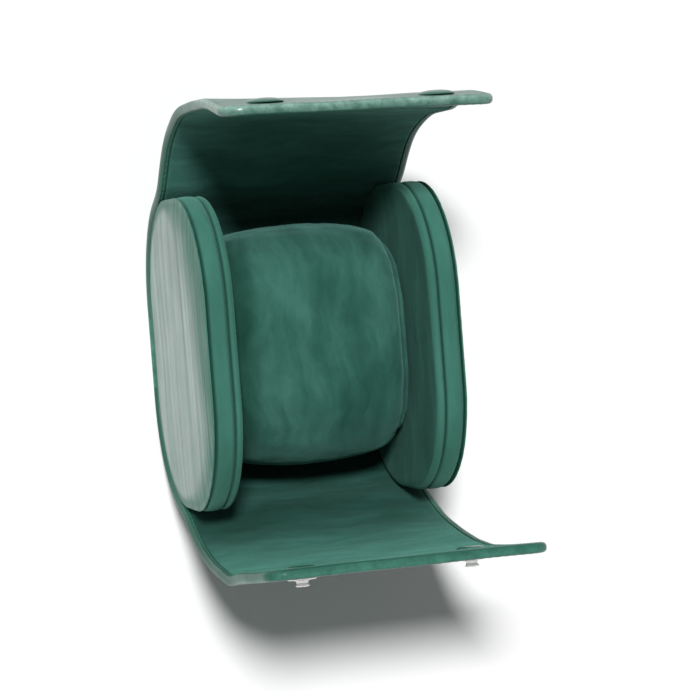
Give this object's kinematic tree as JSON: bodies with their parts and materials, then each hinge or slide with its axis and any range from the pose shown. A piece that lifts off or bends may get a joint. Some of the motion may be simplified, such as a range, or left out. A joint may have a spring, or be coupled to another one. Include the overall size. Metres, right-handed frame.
{
  "type": "watch travel case",
  "caption": "Open watch travel case: padded end panels on a leather back, velvet pillow between them, and stiffened flaps that fold over the front and close with snaps.",
  "frame": {"origin": "middle of the back's underside, on the surface that the case lies on", "axes": "+X along the roll from one end panel to the other, +Y towards the top flap that laps over, +Z out of the open front"},
  "size_m": [0.086, 0.1481, 0.155],
  "materials": {
    "outer_leather": "smooth, satin, fine grain",
    "suede_lining": "short brushed nap, matte",
    "velvet": "short pile, soft sheen",
    "board": "grey fibre board, unseen",
    "foam": "open foam, unseen",
    "snap_metal": "plated, satin"
  },
  "bodies": {
    "case": {"back_leather": "outer_leather", "back_board": "board", "back_lining": "suede_lining", "left_panel_leather": "outer_leather", "left_panel_board": "board", "left_panel_foam": "foam", "left_panel_rim": "outer_leather", "left_panel_lining": "suede_lining", "right_panel_leather": "outer_leather", "right_panel_board": "board", "right_panel_foam": "foam", "right_panel_rim": "outer_leather", "right_panel_lining": "suede_lining"},
    "pillow": {"pillow_sleeve": "velvet", "pillow_left_end": "velvet", "pillow_right_end": "velvet", "pillow_foam": "foam"},
    "top_side": {"top_side_leather": "outer_leather", "top_side_board": "board", "top_side_lining": "suede_lining"},
    "top_corner": {"top_corner_leather": "outer_leather", "top_corner_lining": "suede_lining"},
    "top_front": {"top_front_leather": "outer_leather", "top_front_board": "board", "top_front_lining": "suede_lining", "snap_sockets": "snap_metal", "snap_caps": "snap_metal"},
    "bottom_side": {"bottom_side_leather": "outer_leather", "bottom_side_board": "board", "bottom_side_lining": "suede_lining"},
    "bottom_corner": {"bottom_corner_leather": "outer_leather", "bottom_corner_lining": "suede_lining"},
    "bottom_front": {"bottom_front_leather": "outer_leather", "bottom_front_board": "board", "bottom_front_lining": "suede_lining", "snap_studs": "snap_metal", "snap_rivets": "snap_metal"}
  },
  "joints": [
    {"name": "top_side_fold", "type": "hinge", "parent": "case", "child": "top_side", "pos_m": [0, 0.05115, 0.03311], "axis": [1, 0, 0], "range_deg": [0, 32.83]},
    {"name": "top_corner_fold", "type": "hinge", "parent": "top_side", "child": "top_corner", "pos_m": [0, 0.07404, 0.07527], "axis": [1, 0, 0], "range_deg": [0, 12.18]},
    {"name": "top_front_fold", "type": "hinge", "parent": "top_corner", "child": "top_front", "pos_m": [0, 0.07404, 0.09727], "axis": [1, 0, 0], "range_deg": [0, 42.01]},
    {"name": "bottom_side_fold", "type": "hinge", "parent": "case", "child": "bottom_side", "pos_m": [0, -0.05115, 0.03311], "axis": [-1, 0, 0], "range_deg": [0, 19.35]},
    {"name": "bottom_corner_fold", "type": "hinge", "parent": "bottom_side", "child": "bottom_corner", "pos_m": [0, -0.06562, 0.07562], "axis": [-1, 0, 0], "range_deg": [0, 31.66]},
    {"name": "bottom_front_fold", "type": "hinge", "parent": "bottom_corner", "child": "bottom_front", "pos_m": [0, -0.06766, 0.09501], "axis": [-1, 0, 0], "range_deg": [0, 33.51]},
    {"name": "pillow_lift", "type": "slide", "parent": "case", "child": "pillow", "axis": [0, 0, 1], "range_m": [0, 0.014]}
  ],
  "couplings": [
    {"joint": "top_corner_fold", "follows": "top_side_fold", "ratio": 0.37067},
    {"joint": "top_front_fold", "follows": "top_side_fold", "ratio": 1.2793},
    {"joint": "bottom_corner_fold", "follows": "bottom_side_fold", "ratio": 1.6352},
    {"joint": "bottom_front_fold", "follows": "bottom_side_fold", "ratio": 1.731}
  ]
}
